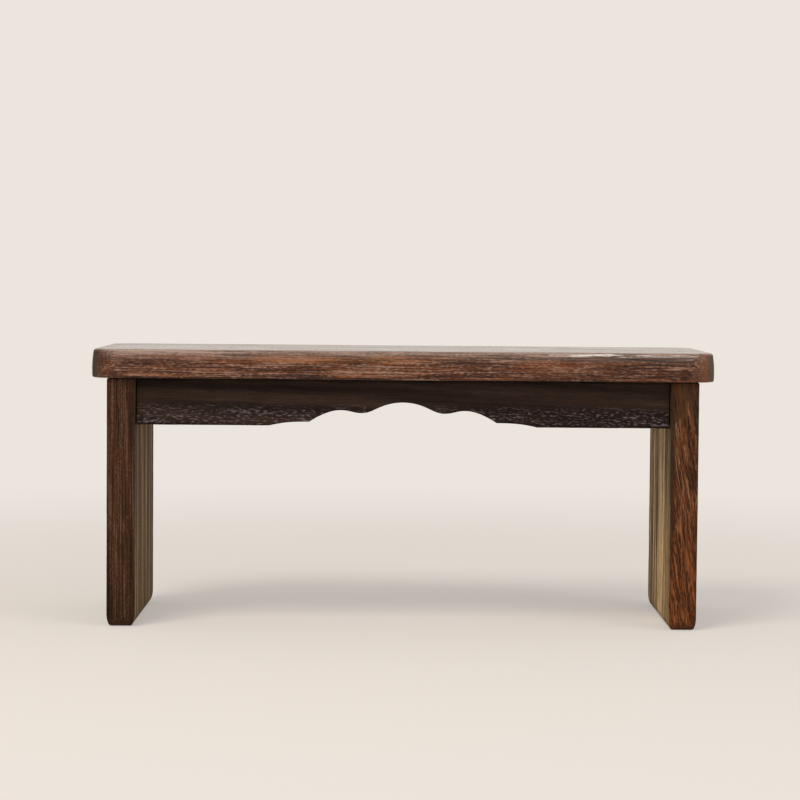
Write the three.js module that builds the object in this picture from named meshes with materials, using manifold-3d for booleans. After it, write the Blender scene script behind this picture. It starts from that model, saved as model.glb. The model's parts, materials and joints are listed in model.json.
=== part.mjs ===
// Folding meditation bench: a seat board on two full-height slab legs, with a scalloped apron along the front.
// Each leg turns inwards on two butt hinges that stand behind the apron, and lies flat under the bench.
// Millimetres. +X runs to the right in a front view, +Y runs from the apron to the back and +Z is up.
// The origin lies on the floor under the middle of the seat.
import * as THREE from "three";
import { mergeVertices } from "three/addons/utils/BufferGeometryUtils.js";
import Module from "manifold-3d";

const wasm = await Module();
wasm.setup();

// Overall sizes
const BENCH_HEIGHT = 200;
const SEAT_LENGTH = 450;
const SEAT_DEPTH = 150;
const SEAT_THICKNESS = 21;
const END_OVERHANG = 12;
const SIDE_OVERHANG = 4.5;

// Seat board
const SEAT_CORNER_RADIUS = 20;
const SEAT_TOP_ROUND = 2;
const SEAT_BOTTOM_EASE = 1.2;

// Legs
const LEG_THICKNESS = 20.5;
const LEG_EDGE_EASE = 1.6;
const FOOT_ROUND_WIDTH = 3.5;
const FOOT_ROUND_HEIGHT = 9;

// Front apron, with its scalloped lower edge
const APRON_DROP = 33.6;
const APRON_THICKNESS = 16;
const APRON_SETBACK = 4.5;
const APRON_END_GAP = 0.8;
const APRON_EDGE_EASE = 1;
const SCALLOP_HALF_WIDTH = 96.5;
const SCALLOP_RISE = 17.2;

// End rails, the battens that carry the hinges
const RAIL_LENGTH = 110;
const RAIL_HEIGHT = 30;
const RAIL_THICKNESS = 18;
const RAIL_EDGE_EASE = 1.5;

// Butt hinges
const HINGE_LENGTH = 28;
const HINGE_SPACING = 66;
const HINGE_RISE = 1.5;
const KNUCKLE_DIAMETER = 5.8;
const LEAF_THICKNESS = 1.4;
const LEAF_HEIGHT = 22;
const LEAF_CORNER_RADIUS = 1.5;
const PIN_DIAMETER = 2.5;
const PIN_RUNNING_GAP = 0.1;

// Screws and dowels
const HINGE_SCREW_LENGTH = 12;
const HINGE_SCREW_DIAMETER = 2.8;
const HINGE_SCREW_HEAD_DIAMETER = 5;
const HINGE_SCREW_SPACING = 16;
const RAIL_SCREW_LENGTH = 40;
const RAIL_SCREW_DIAMETER = 4;
const RAIL_SCREW_HEAD_DIAMETER = 8;
const RAIL_SCREW_SPACING = 48;
const DOWEL_DIAMETER = 8;
const DOWEL_LENGTH = 26;
const DOWEL_END_INSET = 42.7;
const DOWEL_COUNT = 4;

// Disc magnets that hold the open legs against the seat
const MAGNET_DIAMETER = 10;
const MAGNET_THICKNESS = 3;
const MAGNET_END_INSET = 25.5;

// Clearances, and the overrun of every cut
const JOINT_GAP = 0.3;
const SCREW_GAP = 0.25;
const PRESS_GAP = 0.15;
const OVERRUN = 1;

// The scallop from its outer end to its middle, as shares of its half width and of its rise.
// Every third point lies on the edge: end, corner, side lobe, valley and middle. The two between bend it.
const SCALLOP_SHARES = [
  [1, 0],
  [0.903, 0.14],
  [0.816, 0.168],
  [0.7, 0.168],
  [0.65, 0.358],
  [0.555, 0.666],
  [0.465, 0.666],
  [0.39, 0.666],
  [0.38, 0.543],
  [0.305, 0.543],
  [0.22, 0.543],
  [0.165, 1],
  [0, 1],
];

// Other shares, each of the size that it follows
const MIDDLE_KNUCKLE_SHARE = 0.38;
const LEAF_SCREW_HEIGHT_SHARE = 0.6;
const SCREW_TIP_SHARE = 0.3;
const SCREW_POINT_SHARE = 0.2;
const SCREW_RIM_SHARE = 0.05;
const SLOT_WIDTH_SHARE = 0.16;
const SLOT_DEPTH_SHARE = 0.14;
const PIN_CHAMFER_SHARE = 0.12;
const MAGNET_CHAMFER_SHARE = 0.12;
const DOWEL_CHAMFER_SHARE = 0.12;
const DOWEL_IN_APRON_SHARE = 0.54;

// Facets of arcs and rods, and the distance within which points are one point
const CORNER_FACETS = 7;
const EDGE_FACETS = 3;
const SCALLOP_FACETS = 6;
const ROD_FACETS = 16;
const SCREW_FACETS = 12;
const ONE_POINT = 1e-4;

// Places worked out from the sizes
const SEAT_UNDERSIDE = BENCH_HEIGHT - SEAT_THICKNESS;
const LEG_DEPTH = SEAT_DEPTH - 2 * SIDE_OVERHANG;
const LEG_HEIGHT = SEAT_UNDERSIDE - JOINT_GAP;
const LEG_X = SEAT_LENGTH / 2 - END_OVERHANG - LEG_THICKNESS / 2;
const LEG_INNER_X = LEG_X - LEG_THICKNESS / 2;
const APRON_LENGTH = 2 * (LEG_INNER_X - APRON_END_GAP);
const APRON_HEIGHT = APRON_DROP - JOINT_GAP;
const APRON_BOTTOM = SEAT_UNDERSIDE - APRON_DROP;
const APRON_BACK_Y = APRON_SETBACK + APRON_THICKNESS - LEG_DEPTH / 2;
const KNUCKLE_RADIUS = KNUCKLE_DIAMETER / 2;
const PIVOT_X = LEG_INNER_X - JOINT_GAP - KNUCKLE_RADIUS;
const PIVOT_Z = APRON_BOTTOM + HINGE_RISE;
const RAIL_X = PIVOT_X - KNUCKLE_RADIUS - JOINT_GAP - RAIL_THICKNESS / 2;
const RAIL_Y = APRON_BACK_Y + JOINT_GAP + RAIL_LENGTH / 2;
const RAIL_BOTTOM = SEAT_UNDERSIDE - JOINT_GAP - RAIL_HEIGHT;
const HINGE_YS = { front: RAIL_Y - HINGE_SPACING / 2, back: RAIL_Y + HINGE_SPACING / 2 };
const SIDES = { left: -1, right: 1 };

// Materials
const oiledWood = new THREE.MeshStandardMaterial({ color: 0x4f3325, roughness: 0.55, metalness: 0 });
const charredWood = new THREE.MeshStandardMaterial({ color: 0x30241f, roughness: 0.6, metalness: 0 });
const beech = new THREE.MeshStandardMaterial({ color: 0xc49a6c, roughness: 0.7, metalness: 0 });
const brass = new THREE.MeshStandardMaterial({ color: 0xb08d4a, roughness: 0.35, metalness: 1 });
const steel = new THREE.MeshStandardMaterial({ color: 0x8f9294, roughness: 0.35, metalness: 1 });
const nickel = new THREE.MeshStandardMaterial({ color: 0xc2c0b8, roughness: 0.22, metalness: 1 });

// A closed geometry as a solid that can be joined and cut
function solidOf(geometry) {
  const bare = geometry.clone();
  bare.deleteAttribute("normal");
  bare.deleteAttribute("uv");
  const merged = mergeVertices(bare, ONE_POINT);
  const vertProperties = merged.getAttribute("position").array;
  const triVerts = new Uint32Array(merged.index.array);
  return new wasm.Manifold(new wasm.Mesh({ numProp: 3, vertProperties, triVerts }));
}

// A solid as a geometry with flat facets
function geometryOf(solid) {
  const { vertProperties, triVerts } = solid.getMesh();
  const geometry = new THREE.BufferGeometry();
  geometry.setAttribute("position", new THREE.BufferAttribute(vertProperties, 3));
  geometry.setIndex(new THREE.BufferAttribute(triVerts, 1));
  const faceted = geometry.toNonIndexed();
  faceted.computeVertexNormals();
  return faceted;
}

function joined(geometries) {
  return geometryOf(geometries.map(solidOf).reduce((whole, solid) => whole.add(solid)));
}

function common(geometries) {
  return geometryOf(geometries.map(solidOf).reduce((whole, solid) => whole.intersect(solid)));
}

function cut(blank, cutters) {
  return geometryOf(cutters.map(solidOf).reduce((rest, cutter) => rest.subtract(cutter), solidOf(blank)));
}

// A rectangle centred on the origin, with one radius for its lower corners and one for its upper corners
function roundedOutline(width, height, lowerRadius, upperRadius) {
  const [right, top] = [width / 2, height / 2];
  const outline = new THREE.Shape();
  const corner = (x, y, radius, start) => {
    if (radius > 0) outline.absarc(x, y, radius, start, start + Math.PI / 2);
    else outline.lineTo(x, y);
  };
  outline.moveTo(-right + lowerRadius, -top);
  corner(right - lowerRadius, -top + lowerRadius, lowerRadius, -Math.PI / 2);
  corner(right - upperRadius, top - upperRadius, upperRadius, 0);
  corner(-right + upperRadius, top - upperRadius, upperRadius, Math.PI / 2);
  corner(-right + lowerRadius, -top + lowerRadius, lowerRadius, Math.PI);
  return outline;
}

// A leg's outline seen square on, centred on the origin, with its two lower corners rounded taller than wide
function footedOutline(width) {
  const [right, top] = [width / 2, LEG_HEIGHT / 2];
  const outline = new THREE.Shape();
  const corner = (x, start) =>
    outline.absellipse(x, FOOT_ROUND_HEIGHT - top, FOOT_ROUND_WIDTH, FOOT_ROUND_HEIGHT, start, start + Math.PI / 2);
  outline.moveTo(right, top);
  outline.lineTo(-right, top);
  corner(FOOT_ROUND_WIDTH - right, Math.PI);
  corner(right - FOOT_ROUND_WIDTH, 1.5 * Math.PI);
  return outline;
}

// An outline extruded along Z with square edges, centred along Z
function prism(outline, length) {
  const settings = { depth: length, bevelEnabled: false, curveSegments: EDGE_FACETS };
  return new THREE.ExtrudeGeometry(outline, settings).translate(0, 0, -length / 2);
}

// The same, lying along Y with its outline upright in the XZ plane, or along X with its outline in the YZ plane
function prismAlongY(outline, length) {
  return prism(outline, length).rotateX(Math.PI / 2);
}

function prismAlongX(outline, length) {
  return prismAlongY(outline, length).rotateZ(Math.PI / 2);
}

// An outline extruded from z = 0 up to its thickness, with its lower and upper edges rounded inside the outline
function easedSlab(outline, thickness, lowerRound, upperRound, facets) {
  const slab = (round) =>
    new THREE.ExtrudeGeometry(outline, {
      depth: thickness,
      curveSegments: facets,
      bevelSegments: EDGE_FACETS,
      bevelThickness: round,
      bevelSize: round,
      bevelOffset: -round,
    });
  const upper = slab(upperRound).translate(0, 0, -upperRound);
  const lower = slab(lowerRound).translate(0, 0, lowerRound);
  return common([upper, lower]);
}

// A round bar or bore, centred on the origin, along Y or along Z
function rodAlongY(diameter, length) {
  return new THREE.CylinderGeometry(diameter / 2, diameter / 2, length, ROD_FACETS);
}

function rodAlongZ(diameter, length) {
  return rodAlongY(diameter, length).rotateX(Math.PI / 2);
}

// A profile of [radius, height] points turned about Z
function turned(profile, facets) {
  const points = profile.map(([radius, height]) => new THREE.Vector2(radius, height));
  return new THREE.LatheGeometry(points, facets).rotateX(Math.PI / 2);
}

// A round bar along Z, centred on the origin, with both ends chamfered
function chamferedRod(diameter, length, chamfer) {
  const [radius, end] = [diameter / 2, length / 2];
  const profile = [
    [0, -end],
    [radius - chamfer, -end],
    [radius, chamfer - end],
    [radius, end - chamfer],
    [radius - chamfer, end],
    [0, end],
  ];
  return turned(profile, ROD_FACETS);
}

// The wood screws, as [shank diameter, head diameter, length]
const HINGE_SCREW = [HINGE_SCREW_DIAMETER, HINGE_SCREW_HEAD_DIAMETER, HINGE_SCREW_LENGTH];
const RAIL_SCREW = [RAIL_SCREW_DIAMETER, RAIL_SCREW_HEAD_DIAMETER, RAIL_SCREW_LENGTH];

// A slotted countersunk screw that points down, with the flat of its head at z = 0
function woodScrew([diameter, headDiameter, length]) {
  const [shank, head, rim] = [diameter / 2, headDiameter / 2, headDiameter * SCREW_RIM_SHARE];
  const profile = [
    [0, -length],
    [shank * SCREW_POINT_SHARE, -length],
    [shank, -length * (1 - SCREW_TIP_SHARE)],
    [shank, shank - head - rim],
    [head, -rim],
    [head, 0],
    [0, 0],
  ];
  const slot = new THREE.BoxGeometry(
    headDiameter + 2 * OVERRUN,
    headDiameter * SLOT_WIDTH_SHARE,
    headDiameter * SLOT_DEPTH_SHARE * 2,
  );
  return cut(turned(profile, SCREW_FACETS), [slot]);
}

// The hole that such a screw needs, open above its head
function screwHole([diameter, headDiameter, length]) {
  const [shank, head] = [diameter / 2 + SCREW_GAP, headDiameter / 2 + SCREW_GAP];
  const rim = headDiameter * SCREW_RIM_SHARE;
  const profile = [
    [0, -length - SCREW_GAP],
    [shank, -length - SCREW_GAP],
    [shank, shank - head - rim],
    [head, -rim],
    [head, OVERRUN],
    [0, OVERRUN],
  ];
  return turned(profile, SCREW_FACETS);
}

// The rail screws go up through the rail into the seat.
function railScrewPlaces(side) {
  return [-1, 0, 1].map((step) => [side * RAIL_X, RAIL_Y + step * RAIL_SCREW_SPACING, RAIL_BOTTOM]);
}

function railScrewHoles(side) {
  return railScrewPlaces(side).map((place) => screwHole(RAIL_SCREW).rotateX(Math.PI).translate(...place));
}

// The screws of one leaf, from its pivot, go outwards through it. Their heads lie in the face that looks at the
// other leaf.
function leafScrewPlaces() {
  return [-1, 1].map((end) => [
    KNUCKLE_RADIUS - LEAF_THICKNESS,
    (end * HINGE_SCREW_SPACING) / 2,
    LEAF_HEIGHT * LEAF_SCREW_HEIGHT_SHARE,
  ]);
}

function leafScrewHoles() {
  return leafScrewPlaces().map((place) => screwHole(HINGE_SCREW).rotateY(-Math.PI / 2).translate(...place));
}

// The same holes on both hinges of a side, in the leg where outwards is 1 or in the rail where it is -1
function hingeScrewHoles(side, outwards) {
  const turn = side * outwards > 0 ? 0 : Math.PI;
  return Object.values(HINGE_YS).flatMap((y) =>
    leafScrewHoles().map((hole) => hole.rotateZ(turn).translate(side * PIVOT_X, y, PIVOT_Z)),
  );
}

// The dowels stand between the apron and the seat, in an even row along the apron.
function dowelPlaces() {
  const y = APRON_BACK_Y - APRON_THICKNESS / 2;
  const z = SEAT_UNDERSIDE + DOWEL_LENGTH * (1 / 2 - DOWEL_IN_APRON_SHARE);
  const spacing = (APRON_LENGTH - 2 * DOWEL_END_INSET) / (DOWEL_COUNT - 1);
  const steps = Array.from({ length: DOWEL_COUNT }, (_, index) => index - (DOWEL_COUNT - 1) / 2);
  return steps.map((step) => [step * spacing, y, z]);
}

function dowelHoles() {
  const [diameter, length] = [DOWEL_DIAMETER + 2 * PRESS_GAP, DOWEL_LENGTH + 2 * JOINT_GAP];
  return dowelPlaces().map((place) => rodAlongZ(diameter, length).translate(...place));
}

// The magnets of one leg, centred at a height
function magnetPlaces(side, z) {
  return [-1, 1].map((end) => [side * LEG_X, end * (LEG_DEPTH / 2 - MAGNET_END_INSET), z]);
}

function magnetBores(side) {
  const [diameter, depth] = [MAGNET_DIAMETER + 2 * PRESS_GAP, 2 * (MAGNET_THICKNESS + PRESS_GAP) + JOINT_GAP];
  const places = magnetPlaces(side, SEAT_UNDERSIDE - JOINT_GAP / 2);
  return places.map((place) => rodAlongZ(diameter, depth).translate(...place));
}

// Seat board: round plan corners, a full round along the top edge and a small one along the bottom edge
function seatBoard() {
  const plan = roundedOutline(SEAT_LENGTH, SEAT_DEPTH, SEAT_CORNER_RADIUS, SEAT_CORNER_RADIUS);
  const board = easedSlab(plan, SEAT_THICKNESS, SEAT_BOTTOM_EASE, SEAT_TOP_ROUND, CORNER_FACETS);
  const sides = Object.values(SIDES);
  return cut(board.translate(0, 0, SEAT_UNDERSIDE), [
    ...dowelHoles(),
    ...sides.flatMap(magnetBores),
    ...sides.flatMap(railScrewHoles),
  ]);
}

// Leg: a slab with eased upright edges and a rounded foot, whose top end stops against the seat
function leg(side) {
  const plan = roundedOutline(LEG_THICKNESS, LEG_DEPTH, LEG_EDGE_EASE, LEG_EDGE_EASE);
  const slab = common([
    prism(plan, LEG_HEIGHT + 2 * OVERRUN),
    prismAlongY(footedOutline(LEG_THICKNESS), LEG_DEPTH + 2 * OVERRUN),
    prismAlongX(footedOutline(LEG_DEPTH), LEG_THICKNESS + 2 * OVERRUN),
  ]);
  const holes = [...magnetBores(side), ...hingeScrewHoles(side, 1)];
  return cut(slab.translate(side * LEG_X, 0, LEG_HEIGHT / 2), holes);
}

// Front apron: a board with a straight top, and a lower edge that rises in scallops to its middle
function frontApron() {
  const outline = new THREE.Shape();
  const onCurve = (index, hand) => {
    const [out, up] = SCALLOP_SHARES[index];
    return [hand * out * SCALLOP_HALF_WIDTH, up * SCALLOP_RISE];
  };
  const last = SCALLOP_SHARES.length - 1;
  outline.moveTo(-APRON_LENGTH / 2, 0);
  outline.lineTo(...onCurve(0, -1));
  for (let i = 0; i < last; i += 3) {
    outline.bezierCurveTo(...onCurve(i + 1, -1), ...onCurve(i + 2, -1), ...onCurve(i + 3, -1));
  }
  for (let i = last; i > 0; i -= 3) {
    outline.bezierCurveTo(...onCurve(i - 1, 1), ...onCurve(i - 2, 1), ...onCurve(i - 3, 1));
  }
  outline.lineTo(APRON_LENGTH / 2, 0);
  outline.lineTo(APRON_LENGTH / 2, APRON_HEIGHT);
  outline.lineTo(-APRON_LENGTH / 2, APRON_HEIGHT);
  const board = easedSlab(outline, APRON_THICKNESS, APRON_EDGE_EASE, APRON_EDGE_EASE, SCALLOP_FACETS);
  return cut(board.rotateX(Math.PI / 2).translate(0, APRON_BACK_Y, APRON_BOTTOM), dowelHoles());
}

// End rail: a batten screwed up into the seat, with the hinges on its outer face
function endRail(side) {
  const section = roundedOutline(RAIL_THICKNESS, RAIL_HEIGHT, RAIL_EDGE_EASE, 0);
  const batten = prismAlongY(section, RAIL_LENGTH);
  const holes = [...railScrewHoles(side), ...hingeScrewHoles(side, -1)];
  return cut(batten.translate(side * RAIL_X, RAIL_Y, RAIL_BOTTOM + RAIL_HEIGHT / 2), holes);
}

// Hinge leaf, about its pivot: a plate that stands up on the +X side, with the middle knuckle or the outer two
function hingeLeaf(carriesMiddle) {
  const middle = { y: 0, length: HINGE_LENGTH * MIDDLE_KNUCKLE_SHARE };
  const outerLength = (HINGE_LENGTH - middle.length) / 2 - JOINT_GAP;
  const outers = [-1, 1].map((end) => ({ y: (end * (HINGE_LENGTH - outerLength)) / 2, length: outerLength }));
  const [own, others] = carriesMiddle ? [[middle], outers] : [outers, [middle]];
  const knuckle = ({ y, length }, gap) =>
    rodAlongY(KNUCKLE_DIAMETER + 2 * gap, length + 2 * gap).translate(0, y, 0);
  const plateOutline = roundedOutline(HINGE_LENGTH, LEAF_HEIGHT, 0, LEAF_CORNER_RADIUS);
  const plateX = KNUCKLE_RADIUS - LEAF_THICKNESS / 2;
  const plate = prismAlongX(plateOutline, LEAF_THICKNESS).translate(plateX, 0, LEAF_HEIGHT / 2);
  return cut(joined([plate, ...own.map((place) => knuckle(place, 0))]), [
    rodAlongY(PIN_DIAMETER + 2 * PIN_RUNNING_GAP, HINGE_LENGTH + 2 * OVERRUN),
    ...others.map((place) => knuckle(place, JOINT_GAP)),
    ...leafScrewHoles(),
  ]);
}

function hingePin() {
  return chamferedRod(PIN_DIAMETER, HINGE_LENGTH, PIN_DIAMETER * PIN_CHAMFER_SHARE).rotateX(Math.PI / 2);
}

// One named piece of the bench, at a place in its group
function piece(name, geometry, material, place = [0, 0, 0]) {
  const mesh = new THREE.Mesh(geometry, material);
  mesh.name = name;
  mesh.position.set(...place);
  return mesh;
}

// A row of like pieces, named by number
function row(name, geometry, material, places) {
  return places.map((place, index) => piece(`${name}_${index + 1}`, geometry, material, place));
}

// A leaf with its screws, turned so that its plate stands outwards or inwards
function screwedLeaf(name, carriesMiddle, facesRight) {
  const group = new THREE.Group();
  const screws = row(`${name}_screw`, woodScrew(HINGE_SCREW).rotateY(-Math.PI / 2), brass, leafScrewPlaces());
  group.add(piece(`${name}_leaf`, hingeLeaf(carriesMiddle), brass), ...screws);
  group.rotation.z = facesRight ? 0 : Math.PI;
  return group;
}

// A hinge on its pivot. Its leg leaf stands on the outer side and its rail leaf on the inner side.
function hinge(name, side, y) {
  const group = new THREE.Group();
  group.add(screwedLeaf(`${name}_leg`, true, side > 0));
  group.add(screwedLeaf(`${name}_rail`, false, side < 0));
  group.add(piece(`${name}_pin`, hingePin(), steel));
  group.position.set(side * PIVOT_X, y, PIVOT_Z);
  return group;
}

const bench = new THREE.Group();
bench.add(piece("seat_board", seatBoard(), oiledWood));
bench.add(piece("front_apron", frontApron(), charredWood));

const dowel = chamferedRod(DOWEL_DIAMETER, DOWEL_LENGTH, DOWEL_DIAMETER * DOWEL_CHAMFER_SHARE);
bench.add(...row("apron_dowel", dowel, beech, dowelPlaces()));

const railScrew = woodScrew(RAIL_SCREW).rotateX(Math.PI);
const magnet = chamferedRod(MAGNET_DIAMETER, MAGNET_THICKNESS, MAGNET_THICKNESS * MAGNET_CHAMFER_SHARE);
const legMagnetZ = LEG_HEIGHT - MAGNET_THICKNESS / 2;
const seatMagnetZ = SEAT_UNDERSIDE + MAGNET_THICKNESS / 2;

for (const [sideName, side] of Object.entries(SIDES)) {
  bench.add(piece(`leg_${sideName}`, leg(side), oiledWood));
  bench.add(piece(`end_rail_${sideName}`, endRail(side), charredWood));
  bench.add(...row(`rail_screw_${sideName}`, railScrew, steel, railScrewPlaces(side)));
  bench.add(...row(`leg_magnet_${sideName}`, magnet, nickel, magnetPlaces(side, legMagnetZ)));
  bench.add(...row(`seat_magnet_${sideName}`, magnet, nickel, magnetPlaces(side, seatMagnetZ)));
  for (const [placeName, y] of Object.entries(HINGE_YS)) {
    bench.add(hinge(`hinge_${sideName}_${placeName}`, side, y));
  }
}

export default bench;
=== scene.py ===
# Folding meditation bench: dark wire-brushed boards with a waxed finish, brass hinges, screws and magnets.
# Metres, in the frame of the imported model: +X to the right, +Y to the back, +Z up, origin on the floor.
import json
import math
from collections import namedtuple

import bmesh
import bpy
from mathutils import Euler, Matrix, Vector, geometry, noise

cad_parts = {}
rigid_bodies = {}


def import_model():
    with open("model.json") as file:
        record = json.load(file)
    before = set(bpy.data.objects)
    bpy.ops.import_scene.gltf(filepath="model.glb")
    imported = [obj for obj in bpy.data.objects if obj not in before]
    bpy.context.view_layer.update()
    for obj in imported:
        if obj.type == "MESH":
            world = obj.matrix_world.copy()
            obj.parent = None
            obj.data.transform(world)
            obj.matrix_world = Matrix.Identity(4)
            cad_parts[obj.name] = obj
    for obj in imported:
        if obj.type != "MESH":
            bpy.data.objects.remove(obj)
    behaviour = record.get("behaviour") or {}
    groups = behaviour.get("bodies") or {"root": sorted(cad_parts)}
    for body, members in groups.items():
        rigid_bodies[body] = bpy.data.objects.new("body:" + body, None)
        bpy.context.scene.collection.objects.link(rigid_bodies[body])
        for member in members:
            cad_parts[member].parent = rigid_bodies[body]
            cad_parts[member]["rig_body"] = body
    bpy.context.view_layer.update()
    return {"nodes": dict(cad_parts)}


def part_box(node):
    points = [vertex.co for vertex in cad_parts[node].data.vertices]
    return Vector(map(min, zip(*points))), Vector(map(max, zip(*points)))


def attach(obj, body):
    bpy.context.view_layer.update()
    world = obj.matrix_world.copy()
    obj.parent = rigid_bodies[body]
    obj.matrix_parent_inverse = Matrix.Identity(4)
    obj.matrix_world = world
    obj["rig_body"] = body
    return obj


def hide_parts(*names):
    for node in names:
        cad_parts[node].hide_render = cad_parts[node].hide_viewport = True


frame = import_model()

MM = 0.001
X, Y, Z = 0, 1, 2
SIDES = {"left": -1, "right": 1}
# Places nearer than this are one
SAME_PLACE = 1e-6

# Camera: the photograph's, found from the edges of the boards
CAMERA_PLACE = Vector((-0.0098, -1.8295, 0.256))
CAMERA_LENS = 110.4
CAMERA_PITCH = 0.05173
CAMERA_YAW = 0.00427
CAMERA_ROLL = 0.0082
CAMERA_NEAREST = 0.1

# Board shapes
SEAT_CORNER_RADIUS = 20 * MM
SEAT_TOP_ROUND = 2 * MM
SEAT_CROWN = 1.2 * MM
SEAT_WIDEST_SHARE = 0.3
SEAT_BOTTOM_EASE = 1.2 * MM
LEG_EDGE_EASE = 1.6 * MM
LEG_TOP_EASE = 0.6 * MM
FOOT_ROUND_WIDTH = 3.5 * MM
FOOT_ROUND_HEIGHT = 9 * MM
RAIL_EDGE_EASE = 1.5 * MM
RAIL_TOP_EASE = 0.4 * MM
APRON_EDGE_EASE = 1 * MM
APRON_TOP_EASE = 0.5 * MM
SCALLOP_HALF_WIDTH = 96.5 * MM
SCALLOP_RISE = 17.2 * MM

# The scallop from its outer end to its middle, as shares of its half width and of its rise.
# Every third point lies on the edge, and the two between bend it.
SCALLOP_SHARES = [
    (1, 0), (0.903, 0.14), (0.816, 0.168),
    (0.7, 0.168), (0.65, 0.358), (0.555, 0.666),
    (0.465, 0.666), (0.39, 0.666), (0.38, 0.543),
    (0.305, 0.543), (0.22, 0.543), (0.165, 1),
    (0, 1),
]
SCALLOP_STEPS = 24

# How far apart the lines of a board's mesh lie along X, Y and Z. Of three lengths, the second holds near both
# ends, as far in as the third.
SEAT_STEPS = [(2.6 * MM, 1 * MM, SEAT_CORNER_RADIUS), (0.8 * MM,), (0.8 * MM, 0.6 * MM, SEAT_BOTTOM_EASE)]
LEG_STEPS = [
    (0.8 * MM, 0.4 * MM, LEG_EDGE_EASE),
    (0.8 * MM, 0.4 * MM, LEG_EDGE_EASE),
    (3 * MM, 0.8 * MM, FOOT_ROUND_HEIGHT),
]
RAIL_STEPS = [
    (0.9 * MM, 0.5 * MM, RAIL_EDGE_EASE),
    (2.5 * MM, 0.5 * MM, RAIL_EDGE_EASE),
    (0.9 * MM, 0.5 * MM, RAIL_EDGE_EASE),
]
APRON_STEPS = [(1.5 * MM,), (1 * MM, 0.33 * MM, APRON_EDGE_EASE), (0.8 * MM, 0.33 * MM, APRON_EDGE_EASE)]

# Hardware
KNUCKLE_RADIUS = 2.9 * MM
MIDDLE_KNUCKLE_SHARE = 0.38
LEAF_THICKNESS = 1.4 * MM
LEAF_CORNER_RADIUS = 1.5 * MM
LEAF_CORNER_STEPS = 8
LEAF_EDGE_EASE = 0.2 * MM
LEAF_EDGE_STEPS = 2
PIN_DOME_SHARE = 0.45
PIN_DOME_STEPS = 6
PIN_STEPS = 24
MAGNET_EDGE_EASE = 0.3 * MM
PIN_GAP = 0.1 * MM
KNUCKLE_GAP = 0.3 * MM
SCREW_GAP = 0.25 * MM
PRESS_GAP = 0.15 * MM
OVERRUN = 1 * MM
TURNED_STEPS = 40
# How far in from both sides the middle of a small round edge lies, as a share of the round's width
ROUND_SHARE = 0.3

# Edges sharper than this stay sharp, in degrees
BOARD_SMOOTH_ANGLE = 40
FITTING_SMOOTH_ANGLE = 30


def stations(low, high, step, fine=None, margin=0.0):
    """Places from low to high: `fine` apart within `margin` of both ends, and `step` apart between them."""
    spans = [(low, low + margin, fine), (low + margin, high - margin, step), (high - margin, high, fine)]
    places = []
    for start, end, apart in spans:
        if end - start > SAME_PLACE:
            count = max(1, round((end - start) / apart))
            places += [start + (end - start) * i / count for i in range(count)]
    return [*places, high]


def grid_lines(low, high, steps):
    """The places along X, Y and Z where a board's mesh has its lines."""
    return [stations(start, end, *step) for start, end, step in zip(low, high, steps)]


def gridded_block(grid):
    """A closed block whose faces are cut into a grid, with lines at the given places along X, Y and Z."""
    bm = bmesh.new()
    bmesh.ops.create_cube(bm, size=1)
    bmesh.ops.translate(bm, vec=(0.5, 0.5, 0.5), verts=bm.verts)
    for axis, places in enumerate(grid):
        along = [e for e in bm.edges if abs(e.verts[0].co[axis] - e.verts[1].co[axis]) > 0.5]
        bmesh.ops.subdivide_edges(bm, edges=along, cuts=len(places) - 2, use_grid_fill=True)
    for v in bm.verts:
        v.co = [places[round(v.co[axis] * (len(places) - 1))] for axis, places in enumerate(grid)]
    return bm


def rounded(inset, depth, width, height=None):
    """Moves a point near a square edge onto a round of that width and height.

    A point lies `inset` from the edge on one face or `depth` from it on the other. Returns both afterwards.
    """
    height = height or width
    if inset >= width or depth >= height:
        return inset, depth
    angle = math.pi / 4 * (1 + inset / width - depth / height)
    return width * (1 - math.cos(angle)), height * (1 - math.sin(angle))


def round_upright(bm, low, high, corner, top, bottom, bottom_height=None):
    """Rounds a block's upright corners in plan, then its top and bottom edges."""
    middle, half = (low + high) / 2, (high - low) / 2
    for v in bm.verts:
        x, y = abs(v.co.x - middle.x), abs(v.co.y - middle.y)
        over_x, over_y = x - half.x + corner, y - half.y + corner
        if over_x > 0 and over_y > 0:
            reach = max(over_x, over_y)
            out = Vector((over_x, over_y)).normalized()
            x, y = half.x - corner + out.x * reach, half.y - corner + out.y * reach
            inset = corner - reach
        else:
            inset = corner - max(over_x, over_y)
            out = Vector((1, 0)) if over_x > over_y else Vector((0, 1))
        above, below = high.z - v.co.z, v.co.z - low.z
        new_inset, new_above = rounded(inset, above, top)
        new_inset, new_below = rounded(new_inset, below, bottom, bottom_height)
        x, y = x + out.x * (inset - new_inset), y + out.y * (inset - new_inset)
        v.co = (
            middle.x + math.copysign(x, v.co.x - middle.x),
            middle.y + math.copysign(y, v.co.y - middle.y),
            v.co.z + above - new_above - below + new_below,
        )


def crown_sides(bm, low, high):
    """Leans the seat's sides in above and below their widest line, as a hand plane leaves them."""
    middle, half = (low + high) / 2, (high - low) / 2
    widest = low.z + SEAT_WIDEST_SHARE * (high.z - low.z)
    for v in bm.verts:
        share = (v.co.z - widest) / (high.z - widest)
        lean = SEAT_CROWN * share * share
        for axis in (X, Y):
            v.co[axis] = middle[axis] + (v.co[axis] - middle[axis]) * (1 - lean / half[axis])


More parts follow.
